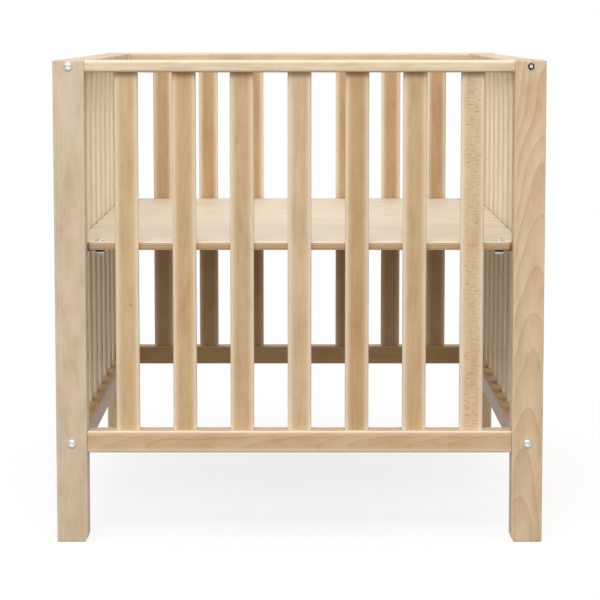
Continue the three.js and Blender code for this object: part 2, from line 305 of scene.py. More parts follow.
def block(place, size):
    """A square-cut tool for mortises and tenons."""
    half = Vector(size) / 2
    rings = []
    for z in (-half.z, half.z):
        corners = ((-half.x, -half.y), (half.x, -half.y), (half.x, half.y), (-half.x, half.y))
        rings.append([(place[0] + x, place[1] + y, place[2] + z) for x, y in corners])
    return loft("tool_block", rings)


def drill(start, end, radius):
    """A round tool from start to end."""
    start, end = Vector(start), Vector(end)
    turn = (end - start).to_track_quat("Z", "Y")
    sides = 32
    rings = []
    for z in (0, (end - start).length):
        ring = []
        for i in range(sides):
            angle = 2 * math.pi * i / sides
            ring.append(start + turn @ Vector((radius * math.cos(angle), radius * math.sin(angle), z)))
        rings.append(ring)
    return loft("tool_drill", rings)


def write_values(mesh, name, kind, domain, values):
    """Stores one value or vector for each point or face of a mesh, under a name."""
    field = {"FLOAT": "value", "FLOAT_VECTOR": "vector", "FLOAT_COLOR": "color"}[kind]
    mesh.attributes.new(name, kind, domain).data.foreach_set(field, values)


def saw_from_log(piece, width, depth, length, edge, **sawing):
    """Notes where each point of a bar lay in its log, with its colour, end grain and the painted highlights
    on its edges.
    depth_in_log is from the pith, turn 0 puts the rings flat to the wide face, and the leans
    are the slope of the pith to the bar. Values not given are drawn from the piece's name."""
    draw = random.Random(piece.name)
    chosen = {
        "depth_in_log": draw.uniform(0.06, 0.16),
        "aside": draw.uniform(-0.03, 0.03),
        "turn": draw.uniform(-0.9, 0.9),
        "lean": draw.uniform(-0.03, 0.03),
        "side_lean": draw.uniform(-0.02, 0.02),
        "start": draw.uniform(0.0, 40.0),
        "colour": draw.choice(["d4b589", "d0ae80", "d6b78e", "ccab7d", "d2b186"]),
        "rays": draw.uniform(-1.0, 0.2),
        "figure": draw.uniform(0.25, 0.7),
        "painted_edge_highlight": 0.0,
        "knot": None,
    }
    chosen.update(sawing)
    turn = Matrix.Rotation(chosen["turn"], 2)
    places, knots, edges, margins = [], [], [], []
    for vertex in piece.data.vertices:
        x, y, z = vertex.co
        across = turn @ Vector((x, y))
        places += [
            across.x + chosen["aside"] + chosen["side_lean"] * z,
            across.y + chosen["depth_in_log"] + chosen["lean"] * z,
            z + chosen["start"],
        ]
        knots += list(vertex.co - Vector(chosen["knot"])) if chosen["knot"] else [1, 1, 1]
        # Across the width, and the strength of the painted edge highlight.
        margins += [x / (width / 2), chosen["painted_edge_highlight"], 0]
        # Where on a rounded edge the point sits, for the painted highlight there.
        over_x = max(0.0, abs(x) - (width / 2 - edge))
        over_y = max(0.0, abs(y) - (depth / 2 - edge))
        on_curve = over_x > 0 and over_y > 0 and abs(z) < length / 2 + edge
        edges.append(math.sin(2 * math.atan2(over_y, over_x)) if on_curve else 0.0)
    ends = [1.0 if abs(face.normal.z) > 0.95 else 0.0 for face in piece.data.polygons]
    write_values(piece.data, "log_place", "FLOAT_VECTOR", "POINT", places)
    write_values(piece.data, "from_knot", "FLOAT_VECTOR", "POINT", knots)
    write_values(piece.data, "margin", "FLOAT_VECTOR", "POINT", margins)
    write_values(piece.data, "eased_edge", "FLOAT", "POINT", edges)
    write_values(piece.data, "rays", "FLOAT", "POINT", [chosen["rays"]] * len(edges))
    write_values(piece.data, "figure", "FLOAT", "POINT", [chosen["figure"]] * len(edges))
    colours = list(linear(chosen["colour"])) * len(edges)
    write_values(piece.data, "ground_colour", "FLOAT_COLOR", "POINT", colours)
    write_values(piece.data, "end_grain", "FLOAT", "FACE", ends)


def finish_wood(piece, node, body):
    """Lacquers a piece, smooths its shading and puts it in place of its CAD node."""
    piece.data.materials.clear()
    piece.data.materials.append(beech)
    piece.data.shade_smooth()
    piece.data.set_sharp_from_angle(angle=math.radians(40))
    flats = piece.modifiers.new("flat_faces", "WEIGHTED_NORMAL")
    flats.keep_sharp = True
    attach(piece, body)
    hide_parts(node)


def measure(node):
    """The size and the middle of a CAD node."""
    low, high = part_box(node)
    return high - low, (high + low) / 2


leg_sawing = {
    # Straight rift-sawn grain, pale.
    "leg_front_left": {"turn": 0.75, "depth_in_log": 0.12, "lean": 0.004, "side_lean": 0.006,
                       "colour": "d3c3ad", "figure": 0.3},
    # Flat-sawn, with the pith leaning across it: arches low down and slanting lines above.
    "leg_front_right": {"turn": 0.0, "depth_in_log": 0.17, "lean": 0.0365, "side_lean": -0.0587,
                        "aside": -0.0094, "colour": "d6c1a4", "figure": 0.8, "start": 12.0},
    "leg_rear_left": {"colour": "d3bf9f"},
    "leg_rear_right": {"colour": "d0ba98"},
}
for end in ("front", "rear"):
    for side, inward in (("left", 1), ("right", -1)):
        node = f"leg_{end}_{side}"
        size, middle = measure(node)
        leg = planed_bar(node + "_wood", size.x, size.y, size.z, leg_edge, leg_end_rounding)
        foot_z = -size.z / 2
        inner_x = inward * size.x / 2
        chamfer = loft("tool_chamfer", [
            [(inner_x + inward * 0.001, y, foot_z - 0.001),
             (inner_x + inward * 0.001, y, foot_z + foot_chamfer_up),
             (inner_x, y, foot_z + foot_chamfer_up),
             (inner_x - inward * foot_chamfer_across, y, foot_z),
             (inner_x - inward * foot_chamfer_across, y, foot_z - 0.001)][::inward]
            for y in (size.y, -size.y)
        ])
        tools = [chamfer]
        for level in ("top", "bottom"):
            rail_low, rail_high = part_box(f"{level}_rail_{end}")
            rail_z = (rail_low.z + rail_high.z) / 2 - middle.z
            tenon_tip = rail_high.x if side == "right" else rail_low.x
            mortise_end = tenon_tip - inward * joint_air - middle.x
            tools.append(block(
                ((mortise_end + inner_x + inward * 0.001) / 2, 0, rail_z),
                (abs(mortise_end - inner_x) + 0.001,
                 rail_high.y - rail_low.y - 2 * (tenon_shoulder - joint_air),
                 rail_high.z - rail_low.z - 2 * (tenon_shoulder - joint_air)),
            ))
            _, bolt_middle = measure(f"bolt_{level}_{end}_{side}")
            bolt_z = bolt_middle.z - middle.z
            tools.append(drill((0, -size.y, bolt_z), (0, size.y, bolt_z), bolt_bore_radius))
        work_on(leg, tools, "DIFFERENCE")
        saw_from_log(leg, size.x, size.y, size.z, leg_edge, **leg_sawing.get(node, {}))
        leg.location = middle
        finish_wood(leg, node, "frame")


# Rails -------------------------------------------------------------------------------------
# Planed beech bars. The two end rails are glued between the legs with a stub tenon at each
# end, and the side rails are butted between the end frames. Blind slots hold the slats, and
# the side rails have a long bore for each frame bolt and a cross bore for its barrel nut.
top_rail_edge = 0.005
bottom_rail_edge = 0.003
slat_edge = 0.0055
bolt_bore_depth = 0.052
barrel_bore_radius = 0.0052
barrel_inset = 0.036
barrel_reach = 0.007

rail_sawing = {
    "top_rail_front": {"colour": "e3d3ba", "turn": 0.1, "lean": 0.002, "side_lean": 0.003},
    "top_rail_rear": {"colour": "cdbca0", "turn": 0.2, "lean": 0.002, "side_lean": 0.003},
    "top_rail_left": {"colour": "dac7a8"},
    "top_rail_right": {"colour": "d8c4a4"},
    # The front bottom rail gets a painted highlight along its edges.
    "bottom_rail_front": {"colour": "cab08d", "turn": 0.2, "painted_edge_highlight": 0.45},
    # The rear and side bottom rails are given darker grounds: painted shade, as the board shades them.
    "bottom_rail_rear": {"colour": "bc9e6c"},
    "bottom_rail_left": {"colour": "c4a36f"},
    "bottom_rail_right": {"colour": "c4a36f"},
}
leg_gap_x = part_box("leg_front_right")[0].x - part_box("leg_front_left")[1].x
slats_in = {"front": 7, "rear": 7, "left": 9, "right": 9}

for side, slat_count in slats_in.items():
    is_end = side in ("front", "rear")
    for level in ("top", "bottom"):
        node = f"{level}_rail_{side}"
        size, middle = measure(node)
        run, thickness = (size.x, size.y) if is_end else (size.y, size.x)
        length = leg_gap_x - 2 * joint_air if is_end else run
        edge = top_rail_edge if level == "top" else bottom_rail_edge
        rail = planed_bar(node + "_wood", size.z, thickness, length, edge, 0)
        if is_end:
            tenons = block((0, 0, 0), (size.z - 2 * tenon_shoulder, thickness - 2 * tenon_shoulder, run))
            work_on(rail, [tenons], "UNION")
        tools = []
        # Once the bar is laid level, its own +X face is the lower one.
        slot_face = size.z / 2 if level == "top" else -size.z / 2
        for number in range(1, slat_count + 1):
            slat_size, slat_middle = measure(f"slat_{side}_{number}")
            slat_wide, slat_thick = (slat_size.x, slat_size.y) if is_end else (slat_size.y, slat_size.x)
            let_in = (slat_size.z + size.z) / 2 - abs(slat_middle.z - middle.z)
            slot = planed_bar("tool_slot", slat_wide + 2 * joint_air, slat_thick + 2 * joint_air,
                              2 * (let_in + joint_air), slat_edge + joint_air, 0)
            along = slat_middle.x if is_end else slat_middle.y
            slot_turn = Matrix.Rotation(math.pi / 2, 4, "Y")
            slot.matrix_world = Matrix.Translation((slot_face, 0, along)) @ slot_turn
            tools.append(slot)
        if not is_end:
            _, bolt_middle = measure(f"bolt_{level}_front_{side}")
            bolt_x = middle.z - bolt_middle.z
            for end_sign in (-1, 1):
                face = end_sign * length / 2
                tools.append(drill((bolt_x, 0, face + end_sign * 0.001),
                                   (bolt_x, 0, face - end_sign * bolt_bore_depth), bolt_bore_radius))
                barrel = end_sign * (length / 2 + joint_air - barrel_inset)
                tools.append(drill((size.z / 2 + 0.001, 0, barrel),
                                   (bolt_x - barrel_reach, 0, barrel), barrel_bore_radius))
        bpy.context.view_layer.update()
        work_on(rail, tools, "DIFFERENCE")
        saw_from_log(rail, size.z, thickness, length, edge, **rail_sawing.get(node, {}))
        level_turn = Matrix.Rotation(math.pi / 2, 4, "Y")
        side_turn = Matrix.Identity(4) if is_end else Matrix.Rotation(math.pi / 2, 4, "Z")
        rail.matrix_world = Matrix.Translation(middle) @ side_turn @ level_turn
        finish_wood(rail, node, "frame")


# Slats -------------------------------------------------------------------------------------
# Thin beech bars with nearly half-round edges, let into the rails at both ends.
slat_sawing = {
    "slat_front_1": {"colour": "ccb28b", "figure": 0.2, "knot": (0.0056, -0.0065, -0.087)},
    "slat_front_2": {"colour": "c6a87e", "figure": 0.3},
    "slat_front_3": {"colour": "c6aa84", "figure": 0.2},
    "slat_front_4": {"colour": "d0b895", "figure": 0.3},
    "slat_front_5": {"colour": "be9f72", "figure": 0.3},
    "slat_front_6": {"colour": "c6aa82", "figure": 0.25},
    # Cut along the rays, so they show as short brown marks across the slat.
    "slat_front_7": {"colour": "d4be9d", "turn": math.pi / 2, "depth_in_log": 0.10, "aside": -0.004,
                     "lean": 0.0, "side_lean": 0.0, "rays": 1.0, "figure": 0.2},
    # The rear slats' darker ground is painted shade from the board over them.
    **{f"slat_rear_{number}": {"colour": "b99c76"} for number in (1, 2, 3, 5, 6, 7)},
}
# Pale wood, made paler still: painted light for the strong light on the side slats' inner faces.
side_slat_colours = ["e3d5bd", "e0d0b5", "e6d9c3", "ddceb4", "e4d4bb"]
for side, slat_count in slats_in.items():
    for number in range(1, slat_count + 1):
        node = f"slat_{side}_{number}"
        size, middle = measure(node)
        is_end = side in ("front", "rear")
        wide, thick = (size.x, size.y) if is_end else (size.y, size.x)
        slat = planed_bar(node + "_wood", wide, thick, size.z, slat_edge, 0.0008)
        # Each slat gets a painted highlight along its long edges.
        sawing = {"painted_edge_highlight": 0.55, **slat_sawing.get(node, {})}
        if not is_end:
            sawing = {"colour": side_slat_colours[number % 5], "figure": 0.3, **sawing}
        saw_from_log(slat, wide, thick, size.z, slat_edge, **sawing)
        turn = Matrix.Identity(4) if is_end else Matrix.Rotation(math.pi / 2, 4, "Z")
        slat.matrix_world = Matrix.Translation(middle) @ turn
        finish_wood(slat, node, "frame")


# Frame bolts -------------------------------------------------------------------------------
# Button-head bolts of turned steel with a hexagon socket, run through the legs into the side
# rails. Seven are bright zinc plate. The front right top one is a smaller black one.
bolt_sizes = {
    "zinc": {"shank": 0.004, "head": 0.007, "height": 0.004, "socket": 0.0029},
    "black": {"shank": 0.003, "head": 0.0053, "height": 0.0032, "socket": 0.0023},
}
socket_depth = 0.0022
head_rim = 0.0008
turned_sides = 64


def make_zinc():
    """Bright zinc plate on turned or pressed steel: a cool, slightly cloudy grey shine with
    fine grit in its surface."""
    cloud_size = 0.004
    material, tree, shader = new_material("zinc_plated_steel_bright")
    place = add(tree, "ShaderNodeTexCoord", {}).outputs["Object"]
    cloud = add(tree, "ShaderNodeTexNoise", {"Scale": 1 / cloud_size, "Detail": 4.0}, Vector=place)
    colour = add(tree, "ShaderNodeValToRGB", {}, Fac=cloud.outputs["Fac"])
    set_ramp(colour, [(0.3, "c3c6c9"), (0.7, "e3e4e4")])
    tree.links.new(colour.outputs["Color"], shader.inputs["Base Color"])
    rough = add(tree, "ShaderNodeMapRange", {"To Min": 0.22, "To Max": 0.42}, Value=cloud.outputs["Fac"])
    tree.links.new(rough.outputs["Result"], shader.inputs["Roughness"])
    grit = add(tree, "ShaderNodeTexNoise", {"Scale": 3500.0, "Detail": 2.0}, Vector=place)
    bump = add(tree, "ShaderNodeBump", {"Strength": 0.15, "Distance": 0.00005}, Height=grit.outputs["Fac"])
    tree.links.new(bump.outputs["Normal"], shader.inputs["Normal"])
    shader.inputs["Metallic"].default_value = 1.0
    return material


def make_black_steel():
    """Black oxide on steel: near black with a dull oily shine, worn paler in specks."""
    material, tree, shader = new_material("black_oxide_steel")
    place = add(tree, "ShaderNodeTexCoord", {}).outputs["Object"]
    speck = add(tree, "ShaderNodeTexNoise", {"Scale": 900.0, "Detail": 3.0}, Vector=place)
    colour = add(tree, "ShaderNodeValToRGB", {}, Fac=speck.outputs["Fac"])
    set_ramp(colour, [(0.35, "1b1a19"), (0.62, "2c2a28"), (0.75, "5a5651")])
    tree.links.new(colour.outputs["Color"], shader.inputs["Base Color"])
    rough = add(tree, "ShaderNodeMapRange", {"To Min": 0.3, "To Max": 0.5}, Value=speck.outputs["Fac"])
    tree.links.new(rough.outputs["Result"], shader.inputs["Roughness"])
    shader.inputs["Metallic"].default_value = 0.85
    return material


zinc_plate = make_zinc()
black_oxide = make_black_steel()


def turned(name, profile, sides=turned_sides):
    """A solid turned round its Z axis from a profile of (radius, z) points, low end first."""
    rings = []
    for radius, z in profile:
        turns = [2 * math.pi * i / sides for i in range(sides)]
        rings.append([(radius * math.cos(turn), radius * math.sin(turn), z) for turn in turns])
    return loft(name, rings)


def finish_metal(piece, material, body, node=None):
    """Plates a piece, shades its curves smooth, and lets it move with its body."""
    if not piece.data.materials:
        piece.data.materials.append(material)
    piece.data.shade_smooth()
    piece.data.set_sharp_from_angle(angle=math.radians(32))
    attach(piece, body)
    if node:
        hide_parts(node)


def button_profile(head, height, rim, flat):
    """The outline of a domed head, from its rim up to the flat round its socket."""
    points = [(head - 0.0003, 0.0), (head - 0.00008, 0.00008), (head, 0.0003), (head, rim)]
    steps = 10
    last = math.acos(flat / head)
    for step in range(1, steps + 1):
        angle = last * step / steps
        points.append((head * math.cos(angle), rim + (height - rim) * math.sin(angle) / math.sin(last)))
    return points


for level in ("top", "bottom"):
    for end, outward in (("front", -1), ("rear", 1)):
        for side in ("left", "right"):
            node = f"bolt_{level}_{end}_{side}"
            low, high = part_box(node)
            kind = "black" if node == "bolt_top_front_right" else "zinc"
            sizes = bolt_sizes[kind]
            length = high.y - low.y - sizes["height"] + 0.0003
            dome = button_profile(sizes["head"], sizes["height"] - 0.0003, head_rim, sizes["socket"] * 1.22)
            profile = [(sizes["shank"] - 0.0006, -length), (sizes["shank"], -length + 0.0006),
                       (sizes["shank"], 0.0)] + dome
            bolt = turned(node + "_steel", profile)
            top = sizes["height"] - 0.0003
            socket_profile = [(sizes["socket"], top - socket_depth), (sizes["socket"], top + 0.001)]
            socket = turned("tool_socket", socket_profile, 6)
            drill_tip = turned("tool_tip", [(0.0001, top - socket_depth - 0.0009),
                                            (sizes["socket"] * 0.8, top - socket_depth + 0.0002)], 24)
            lead_in = turned("tool_lead_in", [(sizes["socket"] * 0.85, top - 0.0004),
                                              (sizes["socket"] * 1.1, top + 0.0002)], 48)
            work_on(bolt, [socket, drill_tip, lead_in], "DIFFERENCE")
            if kind == "black":
                # Inside the socket the bolt is bright zinc.
                bolt.data.materials.append(black_oxide)
                bolt.data.materials.append(zinc_plate)
                for face in bolt.data.polygons:
                    inside = math.hypot(face.center.x, face.center.y) < sizes["socket"] * 1.02
                    face.material_index = 1 if inside and face.center.z > 0 else 0
            aim = Vector((0, outward, 0)).to_track_quat("Z", "Y").to_matrix().to_4x4()
            seat = Vector(((low.x + high.x) / 2, 0, (low.z + high.z) / 2))
            seat.y = (high.y if outward > 0 else low.y) - outward * top
            bolt.matrix_world = Matrix.Translation(seat) @ aim
            finish_metal(bolt, zinc_plate if kind == "zinc" else black_oxide, "frame",
                         node)


# Barrel nuts -------------------------------------------------------------------------------
# Turned steel barrels in the side rails' cross bores, from below. The bolt screws into the
# cross hole, and the slot in the lower end is for turning the hole to meet it.
barrel_radius = 0.005
barrel_below = 0.0072
barrel_above = 0.0066
driver_slot_width = 0.0014

for level in ("top", "bottom"):
    for end, outward in (("front", -1), ("rear", 1)):
        for side in ("left", "right"):
            _, bolt_middle = measure(f"bolt_{level}_{end}_{side}")
            rail_low, rail_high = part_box(f"{level}_rail_{side}")
            rail_end = rail_high.y if outward > 0 else rail_low.y
            ease = 0.0004
            barrel = turned(f"barrel_nut_{level}_{end}_{side}", [
                (barrel_radius - ease, -barrel_below), (barrel_radius, -barrel_below + ease),
                (barrel_radius, barrel_above - ease), (barrel_radius - ease, barrel_above)], 48)
            thread = drill((0, -0.02, 0), (0, 0.02, 0), bolt_sizes["zinc"]["shank"] + 0.00015)
            slot = block((0, 0, -barrel_below), (driver_slot_width, 0.03, 0.003))
            work_on(barrel, [thread, slot], "DIFFERENCE")
            barrel.location = (bolt_middle.x, rail_end + outward * (joint_air - barrel_inset), bolt_middle.z)
            finish_metal(barrel, zinc_plate, "frame")


# Base board --------------------------------------------------------------------------------
# Nine-ply beech plywood with a rotary-cut face veneer, lacquered, its edges eased by hand. It
# is notched round the legs and lies on its brackets, held by one bolt at each corner.
board_ease = 0.0012
notch_corner = 0.002
ply_count = 9


def make_plywood(thickness):
    """Lacquered beech plywood. The face veneer was peeled off the log, so it is pale, with wide
    wandering figure and fine fibre lines that all run across the crib. The edge shows plies
    whose end grain is darker in turn."""
    fibre_width = 0.0011
    fibre_length = 0.080
    ply = thickness / ply_count
    material, tree, shader = new_material("beech_plywood_peeled_veneer_lacquer")
    place = add(tree, "ShaderNodeTexCoord", {}).outputs["Object"]
    along = add(tree, "ShaderNodeVectorMath", {"operation": "MULTIPLY", 1: (1.1, 7.5, 7.5)}, _0=place)
    hill = add(tree, "ShaderNodeTexNoise", {"Scale": 1.0, "Detail": 2.0, "Roughness": 0.4},
               Vector=along.outputs[0])
    contour = add(tree, "ShaderNodeMath", {"operation": "MULTIPLY", 1: 13.0}, _0=hill.outputs["Fac"])
    figure = add(tree, "ShaderNodeMath", {"operation": "FRACT"}, _0=contour.outputs[0])
    figure_shade = add(tree, "ShaderNodeValToRGB", {}, Fac=figure.outputs[0])
    set_ramp(figure_shade, [(0.0, "dfd0b9"), (0.5, "dcccb4"), (0.9, "d5c2a8"), (1.0, "ded0b9")])

    fibre_place = add(tree, "ShaderNodeVectorMath",
                      {"operation": "DIVIDE", 1: (fibre_length, fibre_width, fibre_width)}, _0=place)
    fibre = add(tree, "ShaderNodeTexNoise", {"Scale": 1.0, "Detail": 3.0, "Roughness": 0.6},
                Vector=fibre_place.outputs[0])
    fibre_shade = add(tree, "ShaderNodeMapRange",
                      {"From Min": 0.25, "From Max": 0.75, "To Min": 0.94, "To Max": 1.05},
                      Value=fibre.outputs["Fac"])
    face = add(tree, "ShaderNodeVectorMath", {"operation": "SCALE"}, _0=figure_shade.outputs["Color"],
               Scale=fibre_shade.outputs["Result"])

    # Short dark dashes along the grain, where rays come out at the face.
    dash_place = add(tree, "ShaderNodeVectorMath", {"operation": "DIVIDE", 1: (0.0036, 0.0008, 0.0008)},
                     _0=place)
    dash = add(tree, "ShaderNodeTexNoise", {"Scale": 1.0, "Detail": 0.5}, Vector=dash_place.outputs[0])
    dash_mask = add(tree, "ShaderNodeMapRange",
                    {"From Min": 0.66, "From Max": 0.76, "To Min": 0.0, "To Max": 0.3},
                    Value=dash.outputs["Fac"])
    dashed = add(tree, "ShaderNodeMix", {"data_type": "RGBA", 7: linear("ad8256")},
                 Factor=dash_mask.outputs["Result"], _6=face.outputs[0])

    # The edge: plies with their grain along and across the cut in turn, and dark glue lines.
    parts = add(tree, "ShaderNodeSeparateXYZ", {}, Vector=place)
    in_plies = add(tree, "ShaderNodeMath", {"operation": "DIVIDE", 1: ply}, _0=parts.outputs["Z"])
    even = add(tree, "ShaderNodeMath", {"operation": "PINGPONG", 1: 1.0}, _0=in_plies.outputs[0])
    ply_shade = add(tree, "ShaderNodeValToRGB", {}, Fac=even.outputs[0])
    ply_shade.color_ramp.interpolation = "EASE"
    ply_stops = [(0.0, "d0b48d"), (0.42, "ccae86"), (0.5, "8f6f4b"), (0.58, "b18d63"), (1.0, "ab875d")]
    set_ramp(ply_shade, ply_stops)
    core_place = add(tree, "ShaderNodeVectorMath", {"operation": "DIVIDE", 1: (0.0022, 0.0022, 0.0005)},
                     _0=place)
    core = add(tree, "ShaderNodeTexNoise", {"Scale": 1.0, "Detail": 2.0}, Vector=core_place.outputs[0])
    core_shade = add(tree, "ShaderNodeMapRange", {"To Min": 0.74, "To Max": 1.02}, Value=core.outputs["Fac"])
    edge = add(tree, "ShaderNodeVectorMath", {"operation": "SCALE"}, _0=ply_shade.outputs["Color"],
               Scale=core_shade.outputs["Result"])

    cut = add(tree, "ShaderNodeAttribute", {"attribute_name": "cut_edge"}).outputs["Fac"]
    both = add(tree, "ShaderNodeMix", {"data_type": "RGBA"}, Factor=cut,
               _6=dashed.outputs[2], _7=edge.outputs[0])
    tree.links.new(both.outputs[2], shader.inputs["Base Color"])
    roughness = add(tree, "ShaderNodeMapRange", {"To Min": 0.42, "To Max": 0.58}, Value=fibre.outputs["Fac"])
    tree.links.new(roughness.outputs["Result"], shader.inputs["Roughness"])
    bump = add(tree, "ShaderNodeBump", {"Strength": 0.2, "Distance": 0.00015}, Height=fibre.outputs["Fac"])
    tree.links.new(bump.outputs["Normal"], shader.inputs["Normal"])
    shader.inputs["Coat Weight"].default_value = 0.15
    shader.inputs["Coat Roughness"].default_value = 0.3
    return material


def board_outline(half_x, half_y, notch_x, notch_y, inset):
    """The notched outline, anticlockwise, moved inwards by inset, with small corner arcs."""
    corners = []
    for sign_x, sign_y in ((1, 1), (-1, 1), (-1, -1), (1, -1)):
        three = [(half_x, notch_y, 1), (notch_x, notch_y, -1), (notch_x, half_y, 1)]
        if sign_x * sign_y < 0:
            three.reverse()
        corners += [(sign_x * x, sign_y * y, sign_x, sign_y, kind) for x, y, kind in three]
    points = []
    count = len(corners)
    for index, (x, y, sign_x, sign_y, kind) in enumerate(corners):
        corner = Vector((x - sign_x * inset, y - sign_y * inset))
        radius = notch_corner - inset if kind > 0 else notch_corner + inset
        before = Vector(corners[index - 1][:2]) - Vector((x, y))
        after = Vector(corners[(index + 1) % count][:2]) - Vector((x, y))
        start = corner + before.normalized() * radius
        end = corner + after.normalized() * radius
        steps = 5
        for step in range(steps + 1):
            t = step / steps
            points.append(tuple((1 - t) ** 2 * start + 2 * t * (1 - t) * corner + t ** 2 * end))
    return points


board_size, board_middle = measure("base_board")
leg_inner_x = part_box("leg_front_right")[0].x
leg_inner_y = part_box("leg_rear_right")[0].y
notch_x = leg_inner_x - 0.0025
notch_y = leg_inner_y - 0.004
board_rings = []
for z, inset in ((0, board_ease), (0.3, 0.3 * board_ease), (1.0, 0.0)):
    board_rings.append((board_middle.z - board_size.z / 2 + z * board_ease, inset))
for z, inset in ((1.0, 0.0), (0.3, 0.3 * board_ease), (0, board_ease)):
    board_rings.append((board_middle.z + board_size.z / 2 - z * board_ease, inset))
board = loft("base_board_plywood", [
    [(x, y, z) for x, y in board_outline(board_size.x / 2, board_size.y / 2, notch_x, notch_y, inset)]
    for z, inset in board_rings
])
board_bolt_x = 0.332
board_bolt_y = 0.433
board_top = board_middle.z + board_size.z / 2
board_under = board_middle.z - board_size.z / 2
work_on(board, [
    drill((sign_x * board_bolt_x, sign_y * board_bolt_y, board_under - 0.01),
          (sign_x * board_bolt_x, sign_y * board_bolt_y, board_top + 0.01), bolt_bore_radius)
    for sign_x in (-1, 1) for sign_y in (-1, 1)
], "DIFFERENCE")
write_values(board.data, "cut_edge", "FLOAT", "FACE",
             [0.0 if abs(face.normal.z) > 0.6 else 1.0 for face in board.data.polygons])
board.data.materials.append(make_plywood(board_size.z))
board.data.shade_smooth()
board.data.set_sharp_from_angle(angle=math.radians(50))
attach(board, "base")
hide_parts("base_board")


# Board brackets ----------------------------------------------------------------------------
# Sheet steel folded once, thinly blacked; the black is painted shade under the board. The flange
# reaches under the board, with a round nose for its bolt, and the upstand behind the notch is
# screwed to the leg.
sheet = 0.003
fold_radius = 0.0045
nose_radius = 0.0085
flange_reach = 0.026
plate_corner = 0.004
bracket_ease = 0.0003
screw_hole_radius = 0.0023
screw_spacing = 0.018
screw_rise = 0.027


def make_bracket(name, near_x, far_x, face_y, height):
    """A bracket for the corner where X and Y are both positive, with z = 0 at its underside."""
    rings = []
    steps = 6
    for step in (*range(-steps, 0), *range(1, steps + 1)):
        # The upstand's two top corners are rounded, so its height dips near both ends.
        away = plate_corner * (1 - math.cos(math.pi / 2 * abs(step) / steps))
        end_x = near_x if step < 0 else far_x
        x = end_x + (plate_corner - away) * (1 if step < 0 else -1)
        drop = plate_corner - math.sqrt(max(0.0, plate_corner ** 2 - away ** 2))
        top = height - drop
        ring = [(x, face_y - flange_reach, sheet), (x, face_y - flange_reach, 0.0)]
        for turn in range(5):
            angle = -math.pi / 2 + math.pi / 2 * turn / 4
            ring.append((x, face_y - fold_radius + fold_radius * math.cos(angle),
                         fold_radius + fold_radius * math.sin(angle)))
        ring += [(x, face_y, top), (x, face_y - sheet, top)]
        inner = fold_radius - sheet
        for turn in range(4):
            angle = -math.pi / 2 * turn / 3
            ring.append((x, face_y - fold_radius + inner * math.cos(angle),
                         fold_radius + inner * math.sin(angle)))
        rings.append(ring)
    bracket = loft(name, rings)
    nose = []
    for z in (0.0, sheet):
        ring = [(near_x + 0.004, face_y - fold_radius, z)]
        for step in range(17):
            angle = math.pi * (0.72 + 0.84 * step / 16)
            ring.append((board_bolt_x + nose_radius * math.cos(angle),
                         board_bolt_y + nose_radius * math.sin(angle), z))
        ring.append((far_x - 0.001, face_y - flange_reach, z))
        nose.append(ring)
    work_on(bracket, [loft("tool_nose", nose)], "UNION")
    screw_x = (near_x + far_x) / 2
    work_on(bracket, [
        drill((board_bolt_x, board_bolt_y, -0.01), (board_bolt_x, board_bolt_y, 0.01), bolt_bore_radius),
        drill((screw_x - screw_spacing / 2, face_y - 0.01, screw_rise),
              (screw_x - screw_spacing / 2, face_y + 0.01, screw_rise), screw_hole_radius),
        drill((screw_x + screw_spacing / 2, face_y - 0.01, screw_rise),
              (screw_x + screw_spacing / 2, face_y + 0.01, screw_rise), screw_hole_radius),
    ], "DIFFERENCE")
    return bracket


def mirror(piece, sign_x, sign_y):
    """Flips a piece made for the positive corner to another corner, faces still outward."""
    piece.data.transform(Matrix.Diagonal((sign_x, sign_y, 1, 1)))
    if sign_x * sign_y < 0:
        piece.data.flip_normals()


for end, sign_y in (("front", -1), ("rear", 1)):
    for side, sign_x in (("left", -1), ("right", 1)):
        node = f"bracket_{end}_{side}"
        low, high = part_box(node)
        far_x = max(abs(low.x), abs(high.x))
        face_y = max(abs(low.y), abs(high.y))
        bracket = make_bracket(node + "_steel", 0.353, far_x, face_y, high.z - low.z)
        mirror(bracket, sign_x, sign_y)
        bracket.location.z = low.z
        eased = bracket.modifiers.new("eased_edges", "BEVEL")
        eased.width = bracket_ease
        eased.segments = 2
        eased.limit_method = "ANGLE"
        eased.angle_limit = math.radians(50)
        # Black: painted shade under the board.
        finish_metal(bracket, black_oxide, "base", node)


# Board bolts and nuts ----------------------------------------------------------------------
# Pan-domed steel bolts pushed down through the board and bracket, each with a thick black washer
# and a flange nut below. The washer's black is painted shade under the board. Their heads are the
# only metal on top of the board.
board_bolt_head = 0.008
board_bolt_height = 0.0032
board_bolt_shank = 0.0039
board_bolt_length = 0.0236
thread_pitch = 0.00125
thread_depth = 0.0006
nut_flange_radius = 0.0088
nut_flats_radius = 0.0075
nut_height = 0.0046
washer_radius = 0.0082
washer_height = 0.0027

